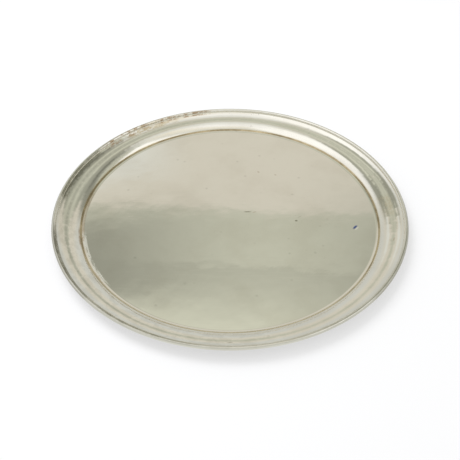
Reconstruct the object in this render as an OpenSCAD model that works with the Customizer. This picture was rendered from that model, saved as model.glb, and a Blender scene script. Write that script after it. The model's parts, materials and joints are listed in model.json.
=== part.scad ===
// Round silver salver. A flat well plate is soldered into a raised, stepped border,
// and a half-round wire is soldered along the border's lip to stiffen it.
// Millimetres, +Z up. The origin is the centre of the resting face under the well.

/* [Overall] */
// Diameter over the lip
overall_d = 300; // [220:1:420]
// Gauge of the silver sheet
sheet_t = 1.2; // [0.8:0.05:2]

/* [Well edge] */
// Width of the dished edge, from the flat of the well to the seam
edge_w = 3; // [2:0.1:12]
// Rise of the dished edge
edge_rise = 0.6; // [0.1:0.05:2]
// Slope of the well plate where it meets the seam, in degrees
edge_angle = 16; // [5:1:25]

/* [Wall] */
// Slope of the wall where it leaves the seam, in degrees
wall_angle = 42; // [35:1:60]
// Radius of the wall's gentle curve
wall_bend = 18.2; // [10:0.5:40]
// Slope where the wall turns into the shoulder, in degrees
shoulder_angle = 24; // [15:1:30]
// Radius of the shoulder
shoulder_bend = 16; // [4:0.5:30]

/* [Ledge] */
// Width of the ledge between the shoulder and the brim
ledge_w = 0.9; // [0.5:0.1:20]
// Slope of the ledge, in degrees
ledge_angle = 4; // [0:1:10]

/* [Brim] */
// Radius of the hollow from the ledge up to the lip
brim_bend = 13.5; // [4:0.5:30]
// Width of the straight brim inside the rim solder
brim_w = 0.8; // [0.5:0.1:20]
// Slope of the lip that carries the wire, in degrees
lip_angle = 34; // [15:1:45]

/* [Rim wire] */
// Width of the wire's flat, along the lip
wire_w = 3.2; // [2:0.1:6]
// Height of the wire over its flat
wire_h = 1.6; // [0.8:0.1:1.6]

/* [Solder] */
// Leg of the fillet of solder in the well seam
well_fillet = 0.9; // [0.4:0.1:1.4]
// Leg of the fillet of solder at the foot of the wire
rim_fillet = 0.5; // [0.3:0.1:0.8]

/* [Hidden] */
$fn = 180;
curve_steps = 8;
wire_steps = 14;
fillet_steps = 3;

silver = [0.80, 0.79, 0.74];
bright_silver = [0.86, 0.85, 0.81];
tarnished_solder = [0.60, 0.50, 0.34];

// The sheet's upper line runs outwards from the axis: flat, dished edge, wall, shoulder,
// ledge, brim, lip. Its radii are found from the lip inwards.
seat_w = rim_fillet + wire_w;
lip_r = overall_d / 2 - sheet_t * sin(lip_angle);
seat_r = lip_r - seat_w * cos(lip_angle);
brim_r = seat_r - brim_w - brim_bend * (sin(lip_angle) - sin(ledge_angle));
shoulder_r = brim_r - ledge_w - shoulder_bend * (sin(shoulder_angle) - sin(ledge_angle));
wall_r = shoulder_r - wall_bend * (sin(wall_angle) - sin(shoulder_angle));
seam_r = wall_r - well_fillet * cos(wall_angle);
flat_r = seam_r - edge_w;

// A straight land on each side of the seam carries the fillet of solder.
flat_end = [flat_r, sheet_t];
seam = flat_end + [edge_w, edge_rise];
plate_land = along(seam, -well_fillet, edge_angle);
wall_land = along(seam, well_fillet, wall_angle);

wall_line = bend(wall_land, wall_angle, shoulder_angle, wall_bend);
shoulder_line = bend(last(wall_line), shoulder_angle, ledge_angle, shoulder_bend);
ledge_end = last(shoulder_line) + ledge_w * [1, tan(ledge_angle)];
brim_line = bend(ledge_end, ledge_angle, lip_angle, brim_bend);
seat = last(brim_line) + brim_w * [1, tan(lip_angle)];
lip = along(seat, seat_w, lip_angle);

plate_line = concat(
  [[0, sheet_t], flat_end],
  curve(flat_end, plate_land, 0, edge_angle),
  [seam]
);
border_line = concat(
  wall_line,
  part(shoulder_line, 1, curve_steps),
  brim_line,
  [lip]
);
sheet_line = concat(plate_line, border_line);
under_line = offset_line(sheet_line, sheet_t);
seam_i = len(plate_line) - 1;
lip_i = len(sheet_line) - 1;

// The wire's arc stands on its flat, which lies along the lip from its inner foot.
wire_foot = along(seat, rim_fillet, lip_angle);
wire_r = (wire_w * wire_w / 4 + wire_h * wire_h) / (2 * wire_h);
wire_half = acos((wire_r - wire_h) / wire_r);
inner_foot = 90 + wire_half;
outer_foot = 90 - wire_half;
solder_top = inner_foot - asin(rim_fillet / wire_r);

// The point at length l from p, in the direction of angle a
function along(p, l, a) = p + l * [cos(a), sin(a)];

// The last point of a line
function last(line) = line[len(line) - 1];

// A round bend of radius r that starts at p and turns from slope a to slope b
function bend(p, a, b, r) = [
  for (i = [0 : curve_steps])
    let (t = a + (b - a) * i / curve_steps)
    p + sign(a - b) * r * [sin(a) - sin(t), cos(t) - cos(a)]
];

// A smooth curve from p to q that leaves at angle a and arrives at angle b, without p itself
function curve(p, q, a, b) = [
  for (i = [1 : curve_steps])
    let (u = i / curve_steps, w = q.x - p.x)
    p + [
      w * u,
      (q.y - p.y) * u * u * (3 - 2 * u)
        + w * tan(a) * u * (1 - u) * (1 - u)
        - w * tan(b) * u * u * (1 - u)
    ]
];

// The direction straight down through the sheet from the stretch that ends at point i
function down(line, i) = let (v = line[i] - line[i - 1]) [v.y, -v.x] / norm(v);

// A line at depth t under the given one, with mitred corners
function offset_line(line, t) = [
  for (i = [0 : len(line) - 1])
    let (
      before = down(line, max(i, 1)),
      after = down(line, min(i + 1, len(line) - 1))
    )
    line[i] + t * (before + after) / (1 + before * after)
];

// The points i to j of a line
function part(line, i, j) = [for (k = [i : j]) line[k]];

// The points of a line in reverse
function backwards(line) = [for (k = [len(line) - 1 : -1 : 0]) line[k]];

// Points on the wire's arc from angle a to angle b, measured from the lip's direction
function wire_arc(a, b, n) = [
  for (i = [0 : n])
    let (
      t = a + (b - a) * i / n,
      x = wire_w / 2 + wire_r * cos(t),
      y = wire_h - wire_r + wire_r * sin(t)
    )
    along(along(wire_foot, x, lip_angle), y, lip_angle + 90)
];

// A ring of sheet between two points of the sheet line
module raised_sheet(i, j) {
  rotate_extrude()
    polygon(concat(part(sheet_line, i, j), backwards(part(under_line, i, j))));
}

module well_plate() {
  color(silver) raised_sheet(0, seam_i);
}

module border() {
  color(silver) raised_sheet(seam_i, lip_i);
}

module rim_wire() {
  color(bright_silver)
    rotate_extrude()
      polygon(concat(
        wire_arc(inner_foot, solder_top, fillet_steps),
        part(wire_arc(solder_top, outer_foot, wire_steps), 1, wire_steps)
      ));
}

module well_solder() {
  color(tarnished_solder)
    rotate_extrude()
      polygon([plate_land, seam, wall_land]);
}

module rim_solder() {
  color(tarnished_solder)
    rotate_extrude()
      polygon(concat([seat], wire_arc(inner_foot, solder_top, fillet_steps)));
}

well_plate();
border();
rim_wire();
well_solder();
rim_solder();
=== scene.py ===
import json
import math

import bpy
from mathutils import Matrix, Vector


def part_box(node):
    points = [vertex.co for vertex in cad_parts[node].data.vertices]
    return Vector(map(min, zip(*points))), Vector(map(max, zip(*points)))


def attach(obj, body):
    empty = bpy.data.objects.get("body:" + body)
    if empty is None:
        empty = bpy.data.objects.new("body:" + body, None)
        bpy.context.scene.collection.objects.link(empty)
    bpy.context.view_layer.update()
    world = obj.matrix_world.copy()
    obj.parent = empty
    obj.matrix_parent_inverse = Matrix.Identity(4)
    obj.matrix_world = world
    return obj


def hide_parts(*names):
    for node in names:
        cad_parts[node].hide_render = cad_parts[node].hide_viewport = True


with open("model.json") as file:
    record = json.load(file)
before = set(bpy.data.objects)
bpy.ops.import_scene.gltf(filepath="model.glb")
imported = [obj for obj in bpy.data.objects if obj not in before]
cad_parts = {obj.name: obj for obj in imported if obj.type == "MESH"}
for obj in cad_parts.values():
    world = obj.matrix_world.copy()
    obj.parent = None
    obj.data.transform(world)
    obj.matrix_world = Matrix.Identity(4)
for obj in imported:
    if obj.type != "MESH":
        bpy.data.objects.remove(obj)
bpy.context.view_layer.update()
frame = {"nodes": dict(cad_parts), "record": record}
print("frame loaded:", ", ".join(sorted(frame["nodes"])))

mm = 0.001
scene = bpy.context.scene

# what the frame says about the salver
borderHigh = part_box("border")[1]
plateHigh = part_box("well_plate")[1]
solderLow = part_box("rim_solder")[0]
servingFace = next(m for m in frame["record"]["mounts"] if m["name"] == "serving_face")
rimRadius = round(borderHigh.x, 4)
sheet = servingFace["pos_m"][2]
seamHeight = plateHigh.z
seatHeight = solderLow.z

# the sheet's section, as the silversmith raised it, with slopes in degrees
section = {
    "edgeWidth": 3.0 * mm,
    "edgeSlope": 16,
    "wallSlope": 42,
    "wallBend": 18.2 * mm,
    "shoulderSlope": 24,
    "shoulderBend": 16 * mm,
    "ledgeWidth": 0.9 * mm,
    "ledgeSlope": 4,
    "brimBend": 13.5 * mm,
    "brimWidth": 0.8 * mm,
    "lipSlope": 34,
    "wireWidth": 3.2 * mm,
    "wireHeight": 1.6 * mm,
    "wellFillet": 0.9 * mm,
    "rimFillet": 0.5 * mm,
    "wallSteps": 10,
    "shoulderSteps": 12,
    "brimSteps": 14,
}


# outlines are lists of (radius, height) pairs
def along(point, length, slope):
    turn = math.radians(slope)
    return (point[0] + length * math.cos(turn), point[1] + length * math.sin(turn))


def swept(start, end, leave, arrive, steps):
    # one smooth curve between two points, with the slope it leaves and arrives at
    run, rise = end[0] - start[0], end[1] - start[1]
    out, into = math.tan(math.radians(leave)), math.tan(math.radians(arrive))
    points = []
    for i in range(1, steps + 1):
        u = i / steps
        height = rise * u * u * (3 - 2 * u)
        height += run * u * (1 - u) * (out * (1 - u) - into * u)
        points.append((start[0] + run * u, start[1] + height))
    return points


def upSlope(point, width, slope):
    return (point[0] + width, point[1] + width * math.tan(math.radians(slope)))


def bend(point, startName, endName, radiusName, stepsName):
    # a round bend from a point, turning from one named slope of the section to another
    start, end = section[startName], section[endName]
    steps = section[stepsName]
    a = math.radians(start)
    turning = math.copysign(section[radiusName], start - end)
    points = []
    for i in range(steps + 1):
        t = math.radians(start + (end - start) * i / steps)
        across = turning * (math.sin(a) - math.sin(t))
        points.append((point[0] + across, point[1] + turning * (math.cos(t) - math.cos(a))))
    return points


def straight(start, end, steps):
    return [
        (start[0] + (end[0] - start[0]) * i / steps, start[1] + (end[1] - start[1]) * i / steps)
        for i in range(1, steps + 1)
    ]


def under(line, depth):
    # the same line, one thickness further down, with mitred corners
    normals = []
    for a, b in zip(line, line[1:]):
        size = math.hypot(b[0] - a[0], b[1] - a[1])
        normals.append(((b[1] - a[1]) / size, (a[0] - b[0]) / size))
    points = []
    for i, point in enumerate(line):
        m, n = normals[max(i - 1, 0)], normals[min(i, len(normals) - 1)]
        share = depth / (1 + m[0] * n[0] + m[1] * n[1])
        points.append((point[0] + share * (m[0] + n[0]), point[1] + share * (m[1] + n[1])))
    return points


def sine(name):
    return math.sin(math.radians(section[name]))


def cosine(name):
    return math.cos(math.radians(section[name]))


def bendWidth(radius, steep, shallow):
    # how far a round bend reaches across the salver
    return section[radius] * (sine(steep) - sine(shallow))


seatWidth = section["rimFillet"] + section["wireWidth"]
lipRadius = rimRadius - sheet * sine("lipSlope")
seatRadius = lipRadius - seatWidth * cosine("lipSlope")
brimRadius = seatRadius - section["brimWidth"] - bendWidth("brimBend", "lipSlope", "ledgeSlope")
ledgeRadius = brimRadius - section["ledgeWidth"]
shoulderRadius = ledgeRadius - bendWidth("shoulderBend", "shoulderSlope", "ledgeSlope")
wallRadius = shoulderRadius - bendWidth("wallBend", "wallSlope", "shoulderSlope")
seamRadius = wallRadius - section["wellFillet"] * cosine("wallSlope")
flatRadius = seamRadius - section["edgeWidth"]

flatEnd = (flatRadius, sheet)
seam = (seamRadius, seamHeight)
plateLand = along(seam, -section["wellFillet"], section["edgeSlope"])
wallLand = along(seam, section["wellFillet"], section["wallSlope"])
wallLine = bend(wallLand, "wallSlope", "shoulderSlope", "wallBend", "wallSteps")
shoulderLine = bend(wallLine[-1], "shoulderSlope", "ledgeSlope", "shoulderBend", "shoulderSteps")
ledgeEnd = upSlope(shoulderLine[-1], section["ledgeWidth"], section["ledgeSlope"])
brimLine = bend(ledgeEnd, "ledgeSlope", "lipSlope", "brimBend", "brimSteps")
seat = upSlope(brimLine[-1], section["brimWidth"], section["lipSlope"])
lip = along(seat, seatWidth, section["lipSlope"])
print("seat height, CAD and here:", round(seatHeight, 6), round(seat[1], 6))
wireFoot = along(seat, section["rimFillet"], section["lipSlope"])


def arcRadius():
    # the radius of the wire's half round, from its width and height
    width, height = section["wireWidth"], section["wireHeight"]
    return (width * width / 4 + height * height) / (2 * height)


def wireArc(start, end, steps):
    # points on the wire's half round, by angle from the direction of the lip
    width, height = section["wireWidth"], section["wireHeight"]
    radius = arcRadius()
    points = []
    for i in range(steps + 1):
        turn = math.radians(start + (end - start) * i / steps)
        x = width / 2 + radius * math.cos(turn)
        y = height - radius + radius * math.sin(turn)
        points.append(along(along(wireFoot, x, section["lipSlope"]), y, section["lipSlope"] + 90))
    return points


# short calls for building node trees
class Tree:
    def __init__(self, tree):
        self.tree = tree

    def node(self, kind, **settings):
        made = self.tree.nodes.new(kind)
        for name, value in settings.items():
            setattr(made, name, value)
        return made

    def feed(self, socket, value):
        if isinstance(value, bpy.types.NodeSocket):
            self.tree.links.new(value, socket)
        elif value is not None:
            socket.default_value = value

    def math(self, operation, a, b=None, c=None, clamp=False):
        made = self.node("ShaderNodeMath", operation=operation, use_clamp=clamp)
        for socket, value in zip(made.inputs, (a, b, c)):
            self.feed(socket, value)
        return made.outputs[0]

    def choose(self, switch, ifOne, ifZero):
        # the first value where switch is 1, the second where it is 0
        first = self.math("MULTIPLY", switch, ifOne)
        second = self.math("MULTIPLY", self.math("SUBTRACT", 1.0, switch), ifZero)
        return self.math("ADD", first, second)

    def vector(self, operation, a, b=None, scale=None):
        made = self.node("ShaderNodeVectorMath", operation=operation)
        self.feed(made.inputs[0], a)
        self.feed(made.inputs[1], b)
        if scale is not None:
            self.feed(made.inputs["Scale"], scale)
        return made.outputs[0]

    def combine(self, x, y, z):
        made = self.node("ShaderNodeCombineXYZ")
        for socket, value in zip(made.inputs, (x, y, z)):
            self.feed(socket, value)
        return made.outputs[0]

    def split(self, vector):
        made = self.node("ShaderNodeSeparateXYZ")
        self.feed(made.inputs[0], vector)
        return made.outputs

    def step(self, value, low, high, start=0.0, end=1.0):
        # a soft step from start to end while value goes from low to high
        made = self.node("ShaderNodeMapRange", interpolation_type="SMOOTHSTEP")
        self.feed(made.inputs["Value"], value)
        self.feed(made.inputs["From Min"], low)
        self.feed(made.inputs["From Max"], high)
        self.feed(made.inputs["To Min"], start)
        self.feed(made.inputs["To Max"], end)
        return made.outputs["Result"]

    def bump(self, value, centre, half, soft):
        # 1 within half of centre, falling to 0 over soft
        away = self.math("ABSOLUTE", self.math("SUBTRACT", value, centre))
        return self.step(away, half, half + soft, 1.0, 0.0)

    def arc(self, turn, centre, half, soft):
        # the same for an angle in degrees, which goes on past a full turn
        away = self.math("FLOORED_MODULO", self.math("SUBTRACT", turn, centre - 180.0), 360.0)
        return self.bump(away, 180.0, float(half), float(soft))

    def mix(self, factor, a, b):
        made = self.node("ShaderNodeMix", data_type="RGBA")
        self.feed(made.inputs["Factor"], factor)
        self.feed(made.inputs["A"], a)
        self.feed(made.inputs["B"], b)
        return made.outputs["Result"]


def addInputs(tree, wanted):
    for name, kind in wanted:
        tree.interface.new_socket(name, in_out="INPUT", socket_type=kind)


def addOutput(tree):
    tree.interface.new_socket("Geometry", in_out="OUTPUT", socket_type="NodeSocketGeometry")


def hammered(t, mesh, inputs, weight):
    # planishing marks are shallow cups with ridges between them,
    # and waves are the slow unevenness of hand work
    where = t.node("GeometryNodeInputPosition").outputs[0]
    shift = t.combine(0.0, 0.0, t.math("MULTIPLY", inputs["Seed"], 0.37))
    where = t.vector("ADD", where, shift)
    cups = t.node("ShaderNodeTexVoronoi", feature="F1", distance="EUCLIDEAN")
    t.feed(cups.inputs["Vector"], t.vector("DIVIDE", where, t.combine(*[inputs["Mark Size"]] * 3)))
    t.feed(cups.inputs["Scale"], 1.0)
    t.feed(cups.inputs["Randomness"], 1.0)
    cup = t.math("MULTIPLY", cups.outputs["Distance"], cups.outputs["Distance"])
    cup = t.math("MULTIPLY", t.math("MULTIPLY", cup, 2.0), inputs["Mark Depth"])
    waves = t.node("ShaderNodeTexNoise")
    t.feed(waves.inputs["Vector"], t.vector("DIVIDE", where, t.combine(*[inputs["Wave Size"]] * 3)))
    t.feed(waves.inputs["Scale"], 1.0)
    t.feed(waves.inputs["Detail"], 1.0)
    wave = t.math("MULTIPLY", t.math("SUBTRACT", waves.outputs[0], 0.5), inputs["Wave Depth"])
    height = t.math("MULTIPLY", t.math("ADD", cup, wave), weight)
    moved = t.node("GeometryNodeSetPosition")
    t.feed(moved.inputs["Geometry"], mesh)
    normal = t.node("GeometryNodeInputNormal").outputs[0]
    t.feed(moved.inputs["Offset"], t.vector("SCALE", normal, scale=height))
    return moved.outputs[0]


def finishTree(t, mesh, inputs, out):
    # smooth faces, creased where the sheet really has an edge
    angle = t.node("GeometryNodeInputMeshEdgeAngle").outputs[0]
    smooth = t.node("GeometryNodeSetShadeSmooth", domain="EDGE")
    t.feed(smooth.inputs["Geometry"], mesh)
    t.feed(smooth.inputs["Shade Smooth"], t.math("LESS_THAN", angle, 0.5))
    real = t.node("GeometryNodeRealizeInstances")
    t.feed(real.inputs[0], smooth.outputs[0])
    dressed = t.node("GeometryNodeSetMaterial")
    t.feed(dressed.inputs["Geometry"], real.outputs[0])
    t.feed(dressed.inputs["Material"], inputs["Material"])
    t.feed(out.inputs[0], dressed.outputs[0])


def sampled(t, geometry, index, value, kind):
    made = t.node("GeometryNodeSampleIndex", data_type=kind, domain="POINT")
    t.feed(made.inputs["Geometry"], geometry)
    t.feed(made.inputs["Value"], value)
    t.feed(made.inputs["Index"], index)
    return made.outputs[0]


def namedWeight(t):
    made = t.node("GeometryNodeInputNamedAttribute", data_type="FLOAT")
    made.inputs["Name"].default_value = "weight"
    return made.outputs[0]


hammerInputs = [
    ("Mark Size", "NodeSocketFloat"),
    ("Mark Depth", "NodeSocketFloat"),
    ("Wave Size", "NodeSocketFloat"),
    ("Wave Depth", "NodeSocketFloat"),
    ("Seed", "NodeSocketFloat"),
    ("Material", "NodeSocketMaterial"),
]


def makeTurnedTree():
    # turns a closed section round the axis, one grid column a segment
    tree = bpy.data.node_groups.new("turnedRing", "GeometryNodeTree")
    addInputs(tree, [("Geometry", "NodeSocketGeometry"), ("Segments", "NodeSocketInt")])
    addInputs(tree, hammerInputs)
    addOutput(tree)
    t = Tree(tree)
    inputs = t.node("NodeGroupInput").outputs
    out = t.node("NodeGroupOutput")

    count = t.node("GeometryNodeAttributeDomainSize", component="MESH")
    t.feed(count.inputs[0], inputs["Geometry"])
    rows = count.outputs["Point Count"]
    grid = t.node("GeometryNodeMeshGrid")
    t.feed(grid.inputs["Size X"], 1.0)
    t.feed(grid.inputs["Size Y"], 1.0)
    t.feed(grid.inputs["Vertices X"], t.math("ADD", inputs["Segments"], 1))
    t.feed(grid.inputs["Vertices Y"], t.math("ADD", rows, 1))

    x, y, _ = t.split(t.node("GeometryNodeInputPosition").outputs[0])
    row = t.math("ROUND", t.math("MULTIPLY", t.math("ADD", y, 0.5), rows))
    row = t.math("MODULO", row, rows)
    turn = t.math("MULTIPLY", t.math("ADD", x, 0.5), 2 * math.pi)
    here = t.node("GeometryNodeInputPosition").outputs[0]
    spot = sampled(t, inputs["Geometry"], row, here, "FLOAT_VECTOR")
    weight = sampled(t, inputs["Geometry"], row, namedWeight(t), "FLOAT")
    radius, _, height = t.split(spot)
    kept = t.node("GeometryNodeCaptureAttribute")
    kept.capture_items.new("FLOAT", "weight")
    t.feed(kept.inputs["Geometry"], grid.outputs[0])
    t.feed(kept.inputs[1], weight)
    placed = t.node("GeometryNodeSetPosition")
    t.feed(placed.inputs["Geometry"], kept.outputs[0])
    east = t.math("MULTIPLY", radius, t.math("COSINE", turn))
    north = t.math("MULTIPLY", radius, t.math("SINE", turn))
    t.feed(placed.inputs["Position"], t.combine(east, north, height))
    joined = t.node("GeometryNodeMergeByDistance")
    t.feed(joined.inputs["Geometry"], placed.outputs[0])
    t.feed(joined.inputs["Distance"], 1e-6)
    mesh = hammered(t, joined.outputs[0], inputs, kept.outputs[1])
    finishTree(t, mesh, inputs, out)
    return tree


def makeDiscTree():
    # a square block of faces pressed into a round plate, so that none crowd at its centre
    tree = bpy.data.node_groups.new("plateDisc", "GeometryNodeTree")
    addInputs(tree, [("Geometry", "NodeSocketGeometry"), ("Rings", "NodeSocketInt")])
    addInputs(tree, hammerInputs)
    addOutput(tree)
    t = Tree(tree)
    inputs = t.node("NodeGroupInput").outputs
    out = t.node("NodeGroupOutput")

    across = t.math("MULTIPLY_ADD", inputs["Rings"], 2, 1)
    block = t.node("GeometryNodeMeshCube")
    t.feed(block.inputs["Size"], (2.0, 2.0, 2.0))
    t.feed(block.inputs["Vertices X"], across)
    t.feed(block.inputs["Vertices Y"], across)
    t.feed(block.inputs["Vertices Z"], 2)

    x, y, z = t.split(t.node("GeometryNodeInputPosition").outputs[0])
    wide, deep = t.math("ABSOLUTE", x), t.math("ABSOLUTE", y)
    ring = t.math("ROUND", t.math("MULTIPLY", t.math("MAXIMUM", wide, deep), inputs["Rings"]))
    below = t.math("LESS_THAN", z, 0.0)
    row = t.math("MULTIPLY_ADD", below, t.math("ADD", inputs["Rings"], 1), ring)
    here = t.node("GeometryNodeInputPosition").outputs[0]
    spot = sampled(t, inputs["Geometry"], row, here, "FLOAT_VECTOR")
    weight = sampled(t, inputs["Geometry"], row, namedWeight(t), "FLOAT")
    radius, _, height = t.split(spot)

    flatter = t.math("LESS_THAN", deep, wide)
    main = t.choose(flatter, x, y)
    side = t.choose(flatter, y, x)
    turn = t.math("MULTIPLY", t.math("DIVIDE", side, main), math.pi / 4)
    reach = t.math("MULTIPLY", radius, t.math("SIGN", main))
    far = t.math("MULTIPLY", reach, t.math("COSINE", turn))
    near = t.math("MULTIPLY", reach, t.math("SINE", turn))
    east = t.choose(flatter, far, near)
    north = t.choose(flatter, near, far)

    kept = t.node("GeometryNodeCaptureAttribute")
    kept.capture_items.new("FLOAT", "weight")
    t.feed(kept.inputs["Geometry"], block.outputs[0])
    t.feed(kept.inputs[1], weight)
    placed = t.node("GeometryNodeSetPosition")
    t.feed(placed.inputs["Geometry"], kept.outputs[0])
    t.feed(placed.inputs["Position"], t.combine(east, north, height))
    mesh = hammered(t, placed.outputs[0], inputs, kept.outputs[1])
    finishTree(t, mesh, inputs, out)
    return tree


def sectionObject(name, points, weights):
    # the section stands in the XZ plane, and each point says how freely it may be hammered
    mesh = bpy.data.meshes.new(name)
    edges = [(i, i + 1) for i in range(len(points) - 1)]
    mesh.from_pydata([(r, 0.0, h) for r, h in points], edges, [])
    weight = mesh.attributes.new("weight", "FLOAT", "POINT")
    weight.data.foreach_set("value", weights)
    made = bpy.data.objects.new(name, mesh)
    scene.collection.objects.link(made)
    return made


def formed(name, points, weights, tree, settings, material):
    # runs the tree on the section and keeps the result as a plain mesh
    made = sectionObject(name, points, weights)
    modifier = made.modifiers.new("form", "NODES")
    modifier.node_group = tree
    values = dict(settings, Material=material)
    for item in tree.interface.items_tree:
        if item.in_out == "INPUT" and item.name in values:
            modifier[item.identifier] = values[item.name]
    evaluated = made.evaluated_get(bpy.context.evaluated_depsgraph_get())
    mesh = bpy.data.meshes.new_from_object(evaluated)
    mesh.name = name
    made.modifiers.remove(modifier)
    old = made.data
    made.data = mesh
    bpy.data.meshes.remove(old)
    print(name, "faces", len(mesh.polygons))
    return made


def hammerWeights(points, held, reach):
    # no marks at the seams, growing to full depth within reach of them
    weights = []
    for r, h in points:
        nearest = min(math.hypot(r - a, h - b) for a, b in held)
        weights.append(min(1.0, max(0.0, (nearest - 0.6 * mm) / reach)))
    return weights


silver = {
    "clean": (0.93, 0.905, 0.85, 1.0),
    "worn": (0.88, 0.85, 0.79, 1.0),
    # painted highlight: a colour brighter than the silver, standing in for a glint of light
    "rubbed": (1.0, 0.98, 0.95, 1.0),
    "yellowed": (0.66, 0.56, 0.38, 1.0),
    "brown": (0.50, 0.38, 0.27, 1.0),
    "olive": (0.30, 0.29, 0.22, 1.0),
    "black": (0.12, 0.11, 0.09, 1.0),
    "blue": (0.12, 0.17, 0.42, 1.0),
}


def baseMaterial(name):
    material = bpy.data.materials.new(name)
    material.use_nodes = True
    tree = material.node_tree
    tree.nodes.clear()
    t = Tree(tree)
    shader = t.node("ShaderNodeBsdfPrincipled")
    shader.inputs["Metallic"].default_value = 1.0
    out = t.node("ShaderNodeOutputMaterial")
    tree.links.new(shader.outputs[0], out.inputs[0])
    where = t.node("ShaderNodeTexCoord").outputs["Object"]
    return material, t, shader, where


def addRelief(t, shader, height, strength, depth):
    # relief too fine to be geometry
    made = t.node("ShaderNodeBump")
    made.inputs["Strength"].default_value = strength
    made.inputs["Distance"].default_value = depth
    t.feed(made.inputs["Height"], height)
    t.feed(shader.inputs["Normal"], made.outputs[0])


def noise(t, where, size, detail, rough=0.55):
    made = t.node("ShaderNodeTexNoise")
    t.feed(made.inputs["Vector"], where)
    t.feed(made.inputs["Scale"], 1.0 / size)
    t.feed(made.inputs["Detail"], detail)
    t.feed(made.inputs["Roughness"], rough)
    return made.outputs[0]


def scratches(t, where, degrees, length, pitch, rarity):
    # hairlines: a noise drawn out along one direction, of which only the crests show
    turned = t.node("ShaderNodeMapping")
    t.feed(turned.inputs["Vector"], where)
    turned.inputs["Rotation"].default_value = (0.0, 0.0, math.radians(degrees))
    turned.inputs["Scale"].default_value = (1.0 / length, 1.0 / pitch, 1.0 / length)
    made = t.node("ShaderNodeTexNoise")
    t.feed(made.inputs["Vector"], turned.outputs[0])
    t.feed(made.inputs["Scale"], 1.0)
    t.feed(made.inputs["Detail"], 1.0)
    return t.step(made.outputs[0], rarity, rarity + 0.06)


def specks(t, where, size, rarity):
    # small pits, only in some cells
    made = t.node("ShaderNodeTexVoronoi", feature="F1")
    t.feed(made.inputs["Vector"], where)
    t.feed(made.inputs["Scale"], 1.0 / size)
    dot = t.step(made.outputs["Distance"], 0.08, 0.26, 1.0, 0.0)
    chosen = t.math("GREATER_THAN", t.split(made.outputs["Color"])[0], rarity)
    return t.math("MULTIPLY", dot, chosen)


def distance(t, x, y):
    return t.math("SQRT", t.math("ADD", t.math("MULTIPLY", x, x), t.math("MULTIPLY", y, y)))


def polar(t, where):
    # radius from the axis, and the angle round it in degrees from 0 to 360
    x, y, _ = t.split(where)
    turn = t.math("DEGREES", t.math("ARCTAN2", y, x))
    return distance(t, x, y), t.math("FLOORED_MODULO", turn, 360.0)


def faceUp(t):
    # 1 on the faces that look up, 0 on the underside
    normal = t.node("ShaderNodeTexCoord").outputs["Normal"]
    return t.step(t.split(normal)[2], -0.05, 0.05)


def ovalSpot(t, where, spot):
    # an oval mark at an angle and radius, with its length, width and lean
    turn = math.radians(spot["angle"])
    placed = t.node("ShaderNodeMapping", vector_type="TEXTURE")
    t.feed(placed.inputs["Vector"], where)
    centre = (spot["radius"] * mm * math.cos(turn), spot["radius"] * mm * math.sin(turn), 0.0)
    placed.inputs["Location"].default_value = centre
    placed.inputs["Rotation"].default_value = (0.0, 0.0, math.radians(spot["lean"]))
    placed.inputs["Scale"].default_value = (spot["long"] * mm, spot["wide"] * mm, 1.0)
    x, y, _ = t.split(placed.outputs[0])
    return t.math("MULTIPLY", t.step(distance(t, x, y), 0.35, 1.0, 1.0, 0.0), spot["amount"])


# small marks in the well and on the wall, one of them a painted highlight, in millimetres and degrees
marks = [
    {"angle": 23, "radius": 16.6, "long": 4.5, "wide": 0.9, "lean": 0,
     "tone": "olive", "amount": 0.75},
    {"angle": 16, "radius": 22, "long": 2.5, "wide": 0.7, "lean": 15,
     "tone": "brown", "amount": 0.5},
    {"angle": 355, "radius": 57, "long": 1.6, "wide": 1.3, "lean": 0,
     "tone": "olive", "amount": 0.9},
    {"angle": 0, "radius": 60, "long": 3.0, "wide": 0.6, "lean": 35,
     "tone": "olive", "amount": 0.3},
    {"angle": 67, "radius": 67, "long": 1.8, "wide": 1.2, "lean": -50,
     "tone": "brown", "amount": 0.4},
    {"angle": 54, "radius": 71, "long": 1.6, "wide": 1.1, "lean": -40,
     "tone": "brown", "amount": 0.35},
    {"angle": 353, "radius": 107, "long": 4.0, "wide": 1.5, "lean": 50,
     "tone": "blue", "amount": 1.0},
    # a painted highlight: a bright glint beside the blue fleck, laid into the colour
    {"angle": 352.3, "radius": 108.4, "long": 3.4, "wide": 1.0, "lean": 50,
     "tone": "rubbed", "amount": 0.9},
    {"angle": 270, "radius": 140, "long": 2.6, "wide": 0.8, "lean": 10,
     "tone": "olive", "amount": 0.35},
    {"angle": 346, "radius": 139, "long": 3.0, "wide": 0.9, "lean": 70,
     "tone": "brown", "amount": 0.4},
]
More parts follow.
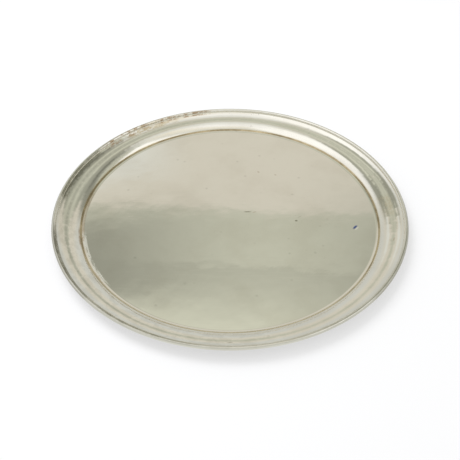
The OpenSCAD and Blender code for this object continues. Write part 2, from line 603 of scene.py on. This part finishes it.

# where the silver is worn or stained, and where painted highlight, reflection and shade lie in its
# colour,
# in millimetres and degrees: the angle round the salver with its arc and fade, the radius with its
# band and fade, and the size of the grain that breaks the stain up, with what is left of it in the
# gaps
stainAndPaintedLight = [
    {"angle": 133, "arc": 7, "fade": 6, "radius": 145.8, "band": 1.4, "soft": 1.4,
     "tone": "brown", "amount": 1.0, "grain": 3.2, "gaps": 0.0},
    {"angle": 122, "arc": 7, "fade": 6, "radius": 144.6, "band": 1.6, "soft": 1.8,
     "tone": "yellowed", "amount": 0.75, "grain": 3.6, "gaps": 0.1},
    {"angle": 109, "arc": 8, "fade": 5, "radius": 146.4, "band": 0.7, "soft": 1.0,
     "tone": "brown", "amount": 1.0, "grain": 3.4, "gaps": 0.0},
    # a painted dark reflection along the lip at the left: the dark room mirrored in the hammer facets
    {"angle": 160, "arc": 12, "fade": 3, "radius": 146.2, "band": 0.9, "soft": 0.7,
     "tone": "olive", "amount": 0.85, "grain": 5.0, "gaps": 0.6},
    {"angle": 160, "arc": 12, "fade": 4, "radius": 144.6, "band": 0.8, "soft": 2.2,
     "tone": "olive", "amount": 0.6, "grain": 2.6, "gaps": 0.0},
    # partly dark tarnish and partly painted shadow, along the inner foot of the wire at the near left
    {"angle": 205, "arc": 9, "fade": 12, "radius": 147.2, "band": 0.9, "soft": 0.9,
     "tone": "black", "amount": 0.8, "grain": 6.0, "gaps": 0.5},
    {"angle": 226, "arc": 18, "fade": 26, "radius": 147.4, "band": 1.0, "soft": 1.1,
     "tone": "olive", "amount": 0.75, "grain": 7.0, "gaps": 0.6},
    {"angle": 178, "arc": 24, "fade": 12, "radius": 143.5, "band": 3.0, "soft": 3.0,
     "tone": "olive", "amount": 0.16, "grain": 9.0, "gaps": 0.4},
    {"angle": 232, "arc": 40, "fade": 25, "radius": 137.5, "band": 6.5, "soft": 3.0,
     "tone": "olive", "amount": 0.13, "grain": 5.0, "gaps": 0.0},
    {"angle": 290, "arc": 40, "fade": 40, "radius": 148.2, "band": 0.8, "soft": 0.8,
     "tone": "olive", "amount": 0.4, "grain": 9.0, "gaps": 0.7},
    {"angle": 182, "arc": 14, "fade": 8, "radius": 125.9, "band": 1.3, "soft": 1.0,
     "tone": "brown", "amount": 0.7, "grain": 4.0, "gaps": 0.6},
    {"angle": 192, "arc": 3, "fade": 4, "radius": 127.2, "band": 1.2, "soft": 1.0,
     "tone": "brown", "amount": 0.8, "grain": 1.8, "gaps": 0.4},
    {"angle": 214, "arc": 3, "fade": 4, "radius": 126.6, "band": 0.8, "soft": 1.0,
     "tone": "brown", "amount": 0.75, "grain": 1.8, "gaps": 0.3},
    # a painted highlight: the glare on the dished strip inside the crease, a brighter colour in place
    # of light
    {"angle": 204, "arc": 12, "fade": 6, "radius": 124.4, "band": 1.2, "soft": 1.0,
     "tone": "rubbed", "amount": 1.0, "grain": 5.0, "gaps": 0.3},
    {"angle": 4, "arc": 3, "fade": 4, "radius": 135.5, "band": 4.5, "soft": 2.5,
     "tone": "yellowed", "amount": 0.45, "grain": 5.0, "gaps": 0.3},
]


grainStretch = 2.6  # stains run along the border, so their grain is drawn out round the axis
grainSeam = 340.0  # where the ends of the grain meet, clear of the strong stains


def stainAndPaintedLightPatches(t, radius, turn, colour, dull):
    unrolled = t.math("FLOORED_MODULO", t.math("ADD", turn, 360.0 - grainSeam), 360.0)
    unrolled = t.math("MULTIPLY", unrolled, rimRadius * math.pi / 180 / grainStretch)
    drawn = t.combine(radius, unrolled, 0.0)
    top = faceUp(t)
    for patch in stainAndPaintedLight:
        around = t.arc(turn, patch["angle"], patch["arc"], patch["fade"])
        across = t.bump(radius, patch["radius"] * mm, patch["band"] * mm, patch["soft"] * mm)
        grain = t.step(noise(t, drawn, patch["grain"] * mm, 5.0, 0.7), 0.44, 0.56, patch["gaps"], 1.0)
        mask = t.math("MULTIPLY", t.math("MULTIPLY", around, across), grain)
        mask = t.math("MULTIPLY", mask, t.math("MULTIPLY", top, patch["amount"]))
        colour = t.mix(mask, colour, silver[patch["tone"]])
        dull = t.math("MAXIMUM", dull, mask)
    return colour, dull


sheetFinish = {
    "roughness": 0.03,
    "cloudy": 0.02,  # roughness that the clouds, the hairlines and the worn places add
    "scratched": 0.04,
    "dulled": 0.30,
    "cloudSize": 45 * mm,
    "fineSize": 6 * mm,
    "stainInner": 0.5 * mm,  # from the seam, full to here and gone by the outer width
    "stainOuter": 1.7 * mm,
    "dullRadius": 139 * mm,  # the middle of the dull strip along the ledge
    "pitRadius": 146.4 * mm,
    "pitSize": 2.2 * mm,
    "rarePitSize": 7.0 * mm,
    "scuffSize": 9 * mm,
    "grainDepth": 0.02 * mm,
}

# direction in degrees, length, width and rarity of each set of hairlines
hairlines = [
    (23, 40 * mm, 0.35 * mm, 0.66),
    (-58, 55 * mm, 0.45 * mm, 0.67),
    (81, 30 * mm, 0.3 * mm, 0.68),
]


def makeSheetSilver():
    finish = sheetFinish
    material, t, shader, where = baseMaterial("agedSilverSheet")
    radius, turn = polar(t, where)
    cloud = noise(t, where, finish["cloudSize"], 4.0)
    fine = noise(t, where, finish["fineSize"], 5.0)

    # the polish is a little cloudy, and thin stains gather beside the solder
    colour = t.mix(t.step(cloud, 0.42, 0.68), silver["clean"], silver["worn"])
    beside = t.math("ABSOLUTE", t.math("SUBTRACT", radius, seamRadius))
    ragged = t.math("ADD", beside, t.math("MULTIPLY", t.math("SUBTRACT", cloud, 0.5), 1.2 * mm))
    stain = t.step(ragged, finish["stainInner"], finish["stainOuter"], 1.0, 0.0)
    stain = t.math("MULTIPLY", stain, 0.5)
    colour = t.mix(stain, colour, silver["yellowed"])
    dull = t.math("MULTIPLY", stain, 0.5)

    # a polishing cloth misses the foot of the wall and the front of the ledge
    foot = t.step(radius, seamRadius + 3 * mm, seamRadius + 6 * mm, 1.0, 0.0)
    foot = t.math("MULTIPLY", foot, t.step(radius, seamRadius - 0.5 * mm, seamRadius + 0.5 * mm))
    ledge = t.bump(radius, finish["dullRadius"], 1.5 * mm, 3 * mm)
    ledge = t.math("MULTIPLY", ledge, t.bump(turn, 265.0, 50.0, 40.0))
    for missed in (foot, ledge):
        dull = t.math("MAXIMUM", dull, t.math("MULTIPLY", missed, 0.3))

    colour, dull = stainAndPaintedLightPatches(t, radius, turn, colour, dull)
    top = faceUp(t)
    for spot in marks:
        mask = t.math("MULTIPLY", ovalSpot(t, where, spot), top)
        colour = t.mix(mask, colour, silver[spot["tone"]])
        dull = t.math("MAXIMUM", dull, mask)

    # pits: many along the lip at the back, few and faint elsewhere
    back = t.bump(turn, 88.0, 14.0, 6.0)
    nearLip = t.bump(radius, finish["pitRadius"], 0.6 * mm, 0.8 * mm)
    pits = specks(t, where, finish["pitSize"], 0.30)
    pits = t.math("MULTIPLY", pits, t.math("MULTIPLY", back, nearLip))
    rare = t.math("MULTIPLY", specks(t, where, finish["rarePitSize"], 0.90), 0.12)
    pits = t.math("MAXIMUM", pits, rare, clamp=True)
    colour = t.mix(pits, colour, silver["black"])
    dull = t.math("MAXIMUM", dull, pits)

    # the underside is scuffed from standing and sliding
    scuffs = t.step(noise(t, where, finish["scuffSize"], 6.0, 0.7), 0.42, 0.62, 0.15, 0.6)
    dull = t.math("MAXIMUM", dull, t.math("MULTIPLY", t.math("SUBTRACT", 1.0, top), scuffs))

    hair = 0.0
    for degrees, length, width, rarity in hairlines:
        hair = t.math("MAXIMUM", hair, scratches(t, where, degrees, length, width, rarity))
    clouds = t.math("MULTIPLY", t.step(cloud, 0.4, 0.7), finish["cloudy"])
    rough = t.math("ADD", finish["roughness"], clouds)
    rough = t.math("ADD", rough, t.math("MULTIPLY", hair, finish["scratched"]))
    rough = t.math("ADD", rough, t.math("MULTIPLY", dull, finish["dulled"]))
    t.feed(shader.inputs["Roughness"], rough)
    t.feed(shader.inputs["Base Color"], colour)
    relief = t.math("MULTIPLY", t.math("SUBTRACT", fine, hair), 0.5)
    addRelief(t, shader, relief, 0.1, finish["grainDepth"])
    return material


wireFinish = {
    "roughness": 0.08,
    "rougher": 0.07,  # roughness that the fine grain and the grime at its foot add
    "grimy": 0.25,
    "cloudSize": 20 * mm,
    "fineSize": 2.5 * mm,
    "footInner": 146.8 * mm,
    "footOuter": 147.3 * mm,
    "dentDepth": 0.05 * mm,
}


def makeWireSilver():
    finish = wireFinish
    material, t, shader, where = baseMaterial("wornSilverWire")
    radius, turn = polar(t, where)
    cloud = noise(t, where, finish["cloudSize"], 4.0)
    fine = noise(t, where, finish["fineSize"], 5.0, 0.6)
    foot = t.step(radius, finish["footInner"], finish["footOuter"], 1.0, 0.0)
    grime = t.math("MULTIPLY", foot, t.step(fine, 0.42, 0.64, 0.0, 0.18))
    colour = t.mix(t.step(cloud, 0.4, 0.7), silver["clean"], silver["worn"])
    colour = t.mix(grime, colour, silver["yellowed"])
    colour, grime = stainAndPaintedLightPatches(t, radius, turn, colour, grime)
    t.feed(shader.inputs["Base Color"], colour)
    rough = t.math("MULTIPLY", t.step(fine, 0.4, 0.7), finish["rougher"])
    rough = t.math("ADD", finish["roughness"], rough)
    rough = t.math("ADD", rough, t.math("MULTIPLY", grime, finish["grimy"]))
    t.feed(shader.inputs["Roughness"], rough)
    addRelief(t, shader, fine, 0.3, finish["dentDepth"])
    return material


solder = {
    "light": (0.62, 0.52, 0.34, 1.0),
    "dark": (0.32, 0.26, 0.16, 1.0),
    # the rubbed front of the solder, a lighter colour from wear
    "rubbed": (0.76, 0.68, 0.50, 1.0),
    "pale": (0.90, 0.88, 0.80, 1.0),
    "grey": (0.86, 0.83, 0.74, 1.0),
    "blotchSize": 34 * mm,
    "fineSize": 0.9 * mm,
    "skinDepth": 0.06 * mm,
}


def makeSolder(name, light, dark):
    # tarnish in blotches, rubbed off along the front
    material, t, shader, where = baseMaterial(name)
    _, turn = polar(t, where)
    blotch = noise(t, where, solder["blotchSize"], 5.0, 0.65)
    fine = noise(t, where, solder["fineSize"], 3.0)
    colour = t.mix(t.step(blotch, 0.38, 0.62), light, dark)
    front = t.math("MULTIPLY", t.bump(turn, 268.0, 34.0, 42.0), 0.8)
    colour = t.mix(front, colour, solder["rubbed"])
    t.feed(shader.inputs["Base Color"], colour)
    t.feed(shader.inputs["Roughness"], t.step(blotch, 0.35, 0.65, 0.26, 0.42))
    addRelief(t, shader, fine, 0.4, solder["skinDepth"])
    return material


turnedTree = makeTurnedTree()
discTree = makeDiscTree()
sheetSilver = makeSheetSilver()
wireSilver = makeWireSilver()
wellGold = makeSolder("tarnishedSolder", solder["light"], solder["dark"])
rimGold = makeSolder("rimSolder", solder["pale"], solder["grey"])

plate = {
    "flatRings": 60,
    "edgeRings": 10,
    "lift": 0.03 * mm,  # keeps the marks of the underside off the table
    "Mark Size": 5.5 * mm,
    "Mark Depth": 0.004 * mm,
    "Wave Size": 22 * mm,
    "Wave Depth": 0.09 * mm,
    "Seed": 3.0,
}


def makePlate():
    flat = straight((0.0, sheet), flatEnd, plate["flatRings"])
    edge = swept(flatEnd, plateLand, 0, section["edgeSlope"], plate["edgeRings"])
    top = [(0.0, sheet)] + flat + edge + [seam]
    bottom = [(r, h + plate["lift"]) for r, h in under(top, sheet)]
    bottom[0] = (0.0, plate["lift"])
    weights = hammerWeights(top, [seam], 5 * mm)
    weights += [0.6 * weight for weight in hammerWeights(bottom, [bottom[-1]], 5 * mm)]
    settings = dict(plate, Rings=len(top) - 1)
    return formed("wellPlate", top + bottom, weights, discTree, settings, sheetSilver)


border = {
    "Segments": 1050,
    "ledgeSteps": 2,
    "lipSteps": 6,
    "Mark Size": 5.0 * mm,
    "Mark Depth": 0.022 * mm,
    "Wave Size": 18 * mm,
    "Wave Depth": 0.14 * mm,
    "Seed": 11.0,
}


def makeBorder():
    ledge = straight(shoulderLine[-1], ledgeEnd, border["ledgeSteps"])
    brim = straight(brimLine[-1], lip, border["lipSteps"])
    top = [seam] + wallLine + shoulderLine[1:] + ledge + brimLine[1:] + brim
    bottom = under(top, sheet)
    plateLine = [plateLand, seam, wallLand]
    bottom[0] = under(plateLine, sheet)[1]  # mitred against the plate
    held = [seam, lip, bottom[0], bottom[-1]]
    weights = hammerWeights(top + bottom[::-1], held, 3 * mm)
    return formed("raisedBorder", top + bottom[::-1], weights, turnedTree, border, sheetSilver)


wire = {
    "Segments": 1200,
    "arcSteps": 16,
    "Mark Size": 3.0 * mm,
    "Mark Depth": 0.02 * mm,
    "Wave Size": 12 * mm,
    "Wave Depth": 0.10 * mm,
    "Seed": 5.0,
}


def wireAngles():
    # where the arc meets the lip inside and outside, and where the solder leaves it
    radius = arcRadius()
    half = math.degrees(math.acos((radius - section["wireHeight"]) / radius))
    solderTop = 90 + half - math.degrees(math.asin(section["rimFillet"] / radius))
    return 90 + half, 90 - half, solderTop


def makeWire():
    inner, outer, _ = wireAngles()
    points = wireArc(inner, outer, wire["arcSteps"])
    weights = hammerWeights(points, [points[0], points[-1]], 1 * mm)
    return formed("rimWire", points, weights, turnedTree, wire, wireSilver)


fillet = {
    "Segments": 1200,
    "arcSteps": 6,
    "sag": 0.03 * mm,
    "sink": 0.08 * mm,  # how far the solder reaches into the sheets
    "Mark Size": 2.4 * mm,
    "Mark Depth": 0.015 * mm,
    "Wave Size": 7 * mm,
    "Wave Depth": 0.10 * mm,
    "Seed": 17.0,
}


def hollow(start, end, sag, steps):
    # a line that dips by sag towards the lower right, like solder that ran into a corner
    dx, dy = end[0] - start[0], end[1] - start[1]
    size = math.hypot(dx, dy)
    points = []
    for i in range(steps + 1):
        u = i / steps
        dip = 4 * sag * u * (1 - u)
        points.append((start[0] + dx * u + dip * dy / size, start[1] + dy * u - dip * dx / size))
    return points


def makeWellSolder():
    sink = fillet["sink"]
    low = (plateLand[0], plateLand[1] - sink)
    high = (wallLand[0] + sink, wallLand[1])
    face = hollow(plateLand, wallLand, fillet["sag"], fillet["arcSteps"])
    corner = (seam[0], seam[1] - sink)
    points = [low] + face + [high, corner]
    weights = [0.0] + [1.0] * len(face) + [0.0, 0.0]
    return formed("wellSolder", points, weights, turnedTree, fillet, wellGold)


rimFillet = dict(fillet)
rimFillet.update({"sag": 0.06 * mm, "touchSteps": 3, "Wave Depth": 0.08 * mm, "Seed": 23.0})


def makeRimSolder():
    inner, _, top = wireAngles()
    touch = wireArc(inner, top, rimFillet["touchSteps"])
    face = hollow(seat, touch[-1], rimFillet["sag"], rimFillet["arcSteps"])
    sunk = (touch[0][0], touch[0][1] - rimFillet["sink"])
    low = (seat[0], seat[1] - rimFillet["sink"])
    points = [low] + face + [sunk]
    weights = [0.0] + [1.0] * len(face) + [0.0]
    return formed("rimSolder", points, weights, turnedTree, rimFillet, rimGold)


for make, node, slot in (
    (makePlate, "well_plate", "silver_sheet"),
    (makeBorder, "border", "silver_sheet"),
    (makeWire, "rim_wire", "silver_wire"),
    (makeWellSolder, "well_solder", "solder"),
    (makeRimSolder, "rim_solder", "solder"),
):
    piece = make()
    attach(piece, "root")
    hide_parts(node)
print("pieces made")

studio = {
    "floorSize": 12.0,
    "floorColour": (0.50, 0.50, 0.52, 1.0),
    "floorGlow": (0.47, 0.47, 0.48, 1.0),
    "benchColour": (0.46, 0.46, 0.42, 1.0),
    "keySize": 0.9,
    "keyPower": 9.0,
    "keyPlace": (-0.55, 0.45, 1.25),
    "backdrop": (0.86, 0.86, 0.85, 1.0),
    "strength": 1.1,
}

tints = {
    "grey": (1.0, 1.02, 0.85),
    "beige": (1.0, 0.965, 0.84),
    "cool": (1.0, 1.02, 0.955),
    "white": (1.0, 1.0, 0.97),
}

# tones by elevation all round the room, and by level across its far wall, where a light band
# hangs over a darker cabinet: (degrees, tone, tint)
around = [
    (0, 0.76, "cool"), (20, 0.78, "cool"), (45, 0.79, "cool"), (60, 0.80, "cool"),
    (74, 0.91, "beige"), (82, 0.945, "white"), (90, 0.945, "white"),
]
farWall = [
    (0, 0.75, "cool"), (20, 0.775, "cool"), (33.7, 0.80, "beige"), (41.5, 0.79, "beige"),
    (42, 0.72, "grey"), (46.2, 0.735, "grey"), (46.4, 0.68, "grey"), (49.2, 0.735, "grey"),
    (51.2, 0.79, "grey"), (53.5, 0.745, "grey"), (61, 0.77, "beige"), (70, 0.85, "cool"),
    (90, 0.93, "white"),
]
slant = 0.028  # the wall's edges run down a little to the right, in degrees a degree

# windows, cards and dark things round the room: azimuth from the far side with half width and fade,
# then the lowest and highest elevation with their fades
panels = [
    {"what": "left wall", "azimuth": -95, "half": 36, "fade": 27,
     "low": (6, 36), "high": (90, 91), "tone": 0.93, "tint": "white"},
    {"what": "left window", "azimuth": -92, "half": 26, "fade": 46,
     "low": (44, 58), "high": (72, 84), "tone": 1.0, "tint": "white"},
    {"what": "far wall", "azimuth": 8, "half": 30, "fade": 18,
     "low": (-91, -90), "high": (91, 92), "tone": None, "tint": None},
    {"what": "left shade", "azimuth": -24, "half": 5, "fade": 23,
     "low": (40, 43), "high": (46.5, 50), "tone": 0.56, "tint": "grey"},
    {"what": "left glow", "azimuth": -15, "half": 4, "fade": 8,
     "low": (27, 33), "high": (37, 40), "tone": 0.825, "tint": "cool"},
    {"what": "left drape", "azimuth": -31, "half": 9, "fade": 6,
     "low": (47, 54), "high": (60, 66), "tone": 0.65, "tint": "grey"},
    {"what": "left post", "azimuth": -31, "half": 3, "fade": 10,
     "low": (28, 39), "high": (45, 60), "tone": 0.58, "tint": "grey"},
    {"what": "shaded wall", "azimuth": 32, "half": 6, "fade": 22,
     "low": (36, 43), "high": (58, 63), "tone": 0.60, "tint": "grey"},
    {"what": "right post", "azimuth": 49, "half": 6, "fade": 13,
     "low": (12, 24), "high": (50, 70), "tone": 0.54, "tint": "grey"},
    {"what": "post core", "azimuth": 46, "half": 2, "fade": 5,
     "low": (34, 42), "high": (54, 60), "tone": 0.46, "tint": "grey"},
    {"what": "beside the card", "azimuth": 68, "half": 5, "fade": 9,
     "low": (10, 24), "high": (56, 64), "tone": 0.72, "tint": "grey"},
    {"what": "right card", "azimuth": 111, "half": 26, "fade": 10,
     "low": (23, 33), "high": (56, 66), "tone": 1.01, "tint": "white"},
    {"what": "camera side", "azimuth": 180, "half": 30, "fade": 28,
     "low": (-91, -90), "high": (54, 70), "tone": 0.81, "tint": "cool"},
]


def tinted(tone, tint):
    light = tone ** 2.2
    return tuple(light * part for part in tints[tint]) + (1.0,)


def toneRamp(t, angle, tones):
    made = t.node("ShaderNodeValToRGB")
    t.feed(made.inputs[0], t.math("DIVIDE", angle, 90.0, clamp=True))
    stops = made.color_ramp.elements
    while len(stops) < len(tones):
        stops.new(0.5)
    for stop, (elevation, tone, tint) in zip(stops, tones):
        stop.position = elevation / 90
        stop.color = tinted(tone, tint)
    return made.outputs[0]


def makeRoom():
    world = bpy.data.worlds.new("studioRoom")
    scene.world = world
    world.use_nodes = True
    tree = world.node_tree
    tree.nodes.clear()
    t = Tree(tree)
    x, y, z = t.split(t.node("ShaderNodeTexCoord").outputs["Generated"])
    azimuth = t.math("DEGREES", t.math("ARCTAN2", x, y))
    elevation = t.math("DEGREES", t.math("ARCSINE", z))
    level = t.math("DEGREES", t.math("ARCTAN2", z, y))
    level = t.math("SUBTRACT", level, t.math("MULTIPLY", azimuth, slant))
    colour = toneRamp(t, elevation, around)
    for panel in panels:
        inside = t.arc(azimuth, panel["azimuth"], panel["half"], panel["fade"])
        risen = t.step(elevation, *panel["low"])
        passed = t.step(elevation, *panel["high"], 1.0, 0.0)
        inside = t.math("MULTIPLY", t.math("MULTIPLY", inside, risen), passed)
        if panel["tone"] is None:
            colour = t.mix(inside, colour, toneRamp(t, level, farWall))
        else:
            colour = t.mix(inside, colour, tinted(panel["tone"], panel["tint"]))
    seen = t.node("ShaderNodeLightPath").outputs["Is Camera Ray"]
    colour = t.mix(seen, colour, studio["backdrop"])
    light = t.node("ShaderNodeBackground")
    t.feed(light.inputs["Color"], colour)
    light.inputs["Strength"].default_value = studio["strength"]
    out = t.node("ShaderNodeOutputWorld")
    tree.links.new(light.outputs[0], out.inputs[0])
    print("room:", ", ".join(panel["what"] for panel in panels))


def makeFloor():
    half = studio["floorSize"] / 2
    mesh = bpy.data.meshes.new("floor")
    corners = [(-half, -half, 0), (half, -half, 0), (half, half, 0), (-half, half, 0)]
    mesh.from_pydata(corners, [], [(0, 1, 2, 3)])
    floor = bpy.data.objects.new("floor", mesh)
    scene.collection.objects.link(floor)
    material = bpy.data.materials.new("paleFloor")
    material.use_nodes = True
    tree = material.node_tree
    t = Tree(tree)
    shader = tree.nodes["Principled BSDF"]
    shader.inputs["Base Color"].default_value = studio["floorColour"]
    shader.inputs["Roughness"].default_value = 0.9
    shader.inputs["Specular IOR Level"].default_value = 0.1
    shader.inputs["Emission Color"].default_value = studio["floorGlow"]
    shader.inputs["Emission Strength"].default_value = 1.0
    # the metal mirrors a darker bench than the white floor seen beside it
    bench = t.node("ShaderNodeEmission")
    bench.inputs["Color"].default_value = studio["benchColour"]
    either = t.node("ShaderNodeMixShader")
    t.feed(either.inputs[0], t.node("ShaderNodeLightPath").outputs["Is Glossy Ray"])
    tree.links.new(shader.outputs[0], either.inputs[1])
    tree.links.new(bench.outputs[0], either.inputs[2])
    tree.links.new(either.outputs[0], tree.nodes["Material Output"].inputs[0])
    mesh.materials.append(material)


def makeKeyLight():
    data = bpy.data.lights.new("keyLight", "AREA")
    data.shape = "SQUARE"
    data.size = studio["keySize"]
    data.energy = studio["keyPower"]
    light = bpy.data.objects.new("keyLight", data)
    light.location = studio["keyPlace"]
    light.rotation_euler = (-Vector(studio["keyPlace"])).to_track_quat("-Z", "Y").to_euler()
    light.visible_glossy = False
    scene.collection.objects.link(light)


cameraView = {
    "distance": 4.0,  # in rim radii
    "elevation": 43.3,
    "aim": (0.0, -0.1445, 0.04),  # in rim radii
    "lens": 56.2,
}


def makeCamera():
    aim = Vector(cameraView["aim"]) * rimRadius
    rise = math.radians(cameraView["elevation"])
    back = Vector((0.0, -math.cos(rise), math.sin(rise)))
    data = bpy.data.cameras.new("camera")
    data.lens = cameraView["lens"]
    data.sensor_width = 36.0
    data.clip_start = 0.01
    data.clip_end = 50.0
    camera = bpy.data.objects.new("camera", data)
    camera.location = aim + back * cameraView["distance"] * rimRadius
    camera.rotation_euler = (math.radians(90 - cameraView["elevation"]), 0.0, 0.0)
    scene.collection.objects.link(camera)
    scene.camera = camera


makeRoom()
makeFloor()
makeKeyLight()
makeCamera()
scene.view_settings.view_transform = "Standard"
print("studio made")
